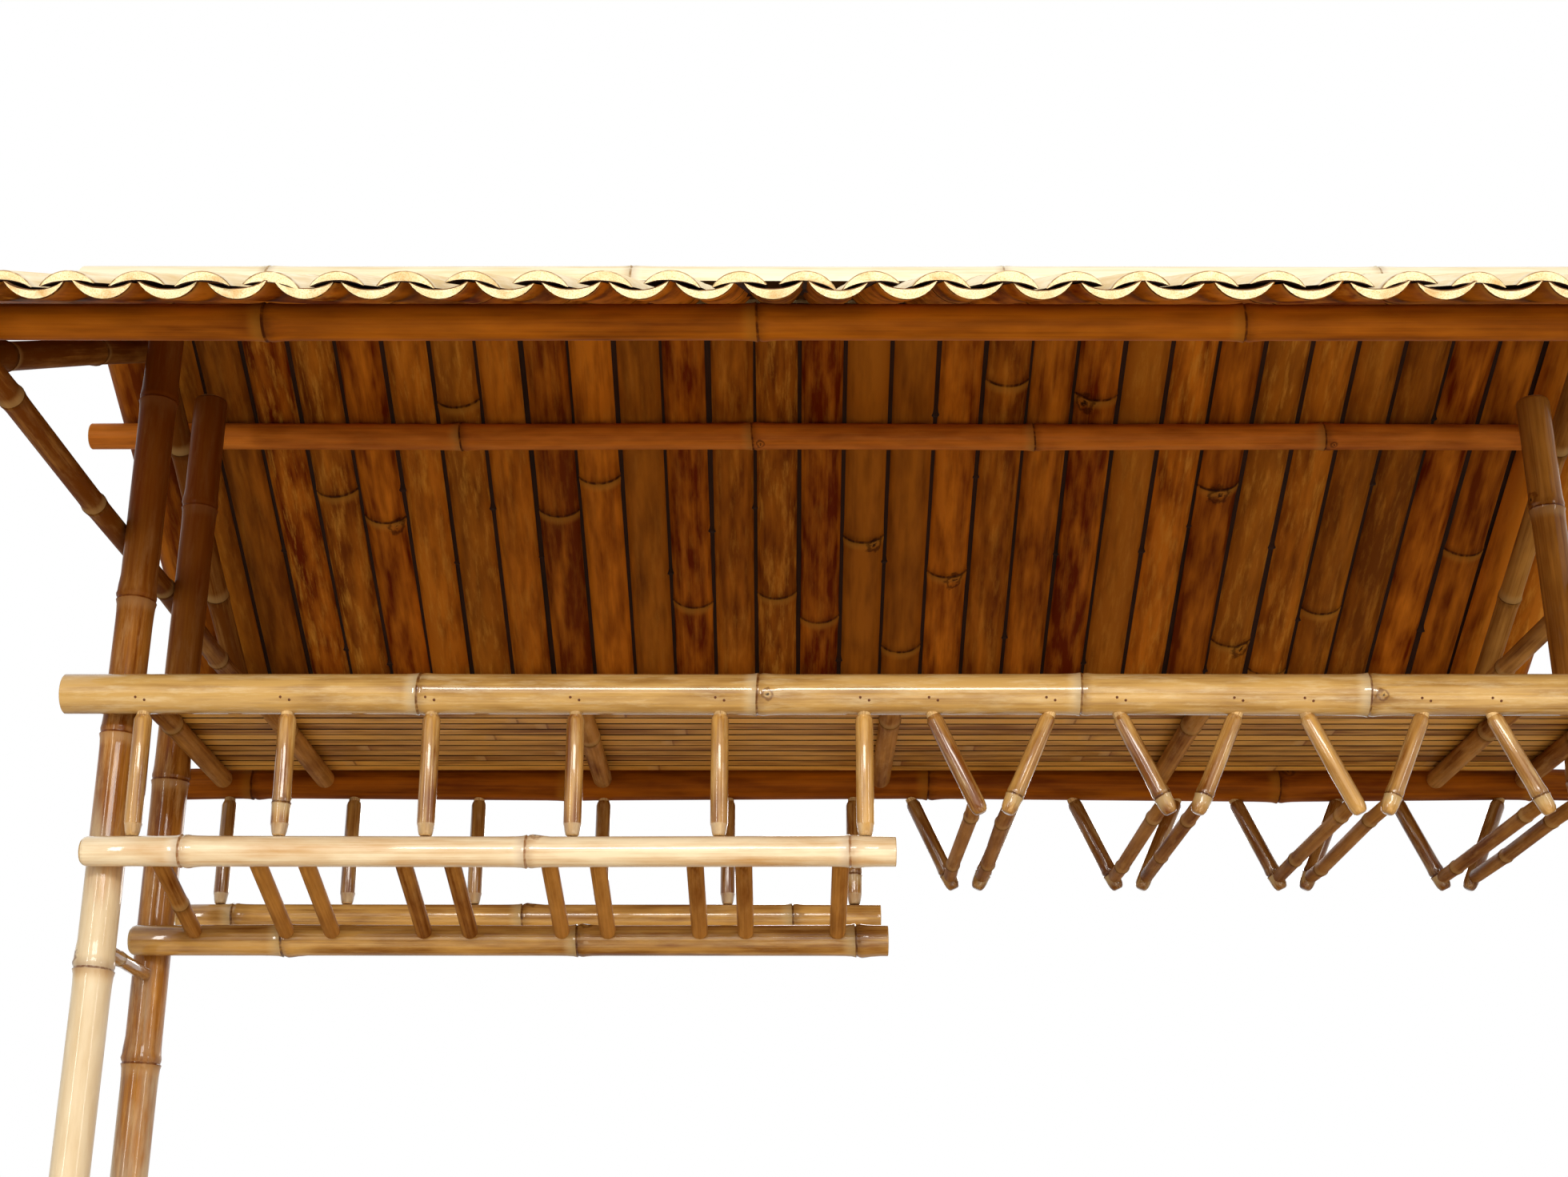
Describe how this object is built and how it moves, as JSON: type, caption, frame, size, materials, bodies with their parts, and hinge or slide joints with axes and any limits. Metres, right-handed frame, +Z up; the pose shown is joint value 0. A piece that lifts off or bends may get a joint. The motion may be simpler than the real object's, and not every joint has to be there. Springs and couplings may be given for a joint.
{
  "type": "bamboo bar hut",
  "caption": "Free-standing bamboo bar with a counter, an overhead bottle and glass rack, and a gabled roof of split-culm tiles.",
  "frame": {"origin": "on the floor under the middle of the ridge", "axes": "+X along the ridge to the right as seen by a guest, +Y from the guest's side to the host's side, +Z up"},
  "size_m": [1.746, 1.2, 2.4238],
  "materials": {
    "culm_brown": "satin bamboo culm, smoked brown",
    "culm_honey": "satin bamboo culm, honey brown with a clear lacquer",
    "culm_pale": "satin bamboo culm, pale straw",
    "split_tile": "split bamboo, sanded outside and fibrous inside",
    "flat_strip": "flattened bamboo strip, lightly oiled"
  },
  "bodies": {
    "root": {"bottle_rail_back": "culm_pale", "bottle_rail_front": "culm_pale", "bottle_rail_low": "culm_pale", "bottle_rods": "culm_pale", "bottle_rungs_back": "culm_pale", "bottle_rungs_front": "culm_pale", "counter_bearers": "culm_honey", "counter_deck_back": "flat_strip", "counter_deck_front": "flat_strip", "counter_deck_middle": "flat_strip", "counter_rail_back": "culm_honey", "counter_rail_front": "culm_honey", "counter_slats": "flat_strip", "eave_beam_back": "culm_honey", "eave_beam_front": "culm_honey", "foot_rail_back": "culm_honey", "foot_rail_front": "culm_honey", "foot_rail_left": "culm_honey", "foot_rail_right": "culm_honey", "glass_hanger_1": "culm_pale", "glass_hanger_2": "culm_pale", "glass_hanger_3": "culm_pale", "glass_hanger_4": "culm_pale", "inner_shelf_strips": "flat_strip", "leg_back_left": "culm_brown", "leg_back_right": "culm_brown", "post_front_left": "culm_brown", "post_front_right": "culm_brown", "post_pegs_left": "culm_pale", "post_pegs_right": "culm_pale", "post_second_left": "culm_brown", "post_second_right": "culm_brown", "purlin_back": "culm_brown", "purlin_front": "culm_brown", "rack_beam_back": "culm_honey", "rack_beam_front": "culm_honey", "rack_bearer_1": "culm_honey", "rack_bearer_2": "culm_honey", "rack_bearer_3": "culm_honey", "rack_bearer_4": "culm_honey", "rack_bearer_5": "culm_honey", "rack_bearer_6": "culm_honey", "rack_bearer_7": "culm_honey", "rack_shelf_board": "flat_strip", "rack_shelf_strips": "flat_strip", "rafter_back_left": "culm_brown", "rafter_back_right": "culm_brown", "rafter_front_left": "culm_brown", "rafter_front_right": "culm_brown", "ridge_cap": "split_tile", "ridge_pole": "culm_brown", "roof_tiles_lower_back": "split_tile", "roof_tiles_lower_front": "split_tile", "roof_tiles_upper_back": "split_tile", "roof_tiles_upper_front": "split_tile", "shelf_rail_back": "culm_honey", "shelf_rail_front": "culm_honey", "tie_pole_left": "culm_brown", "tie_pole_right": "culm_brown"}
  },
  "joints": []
}
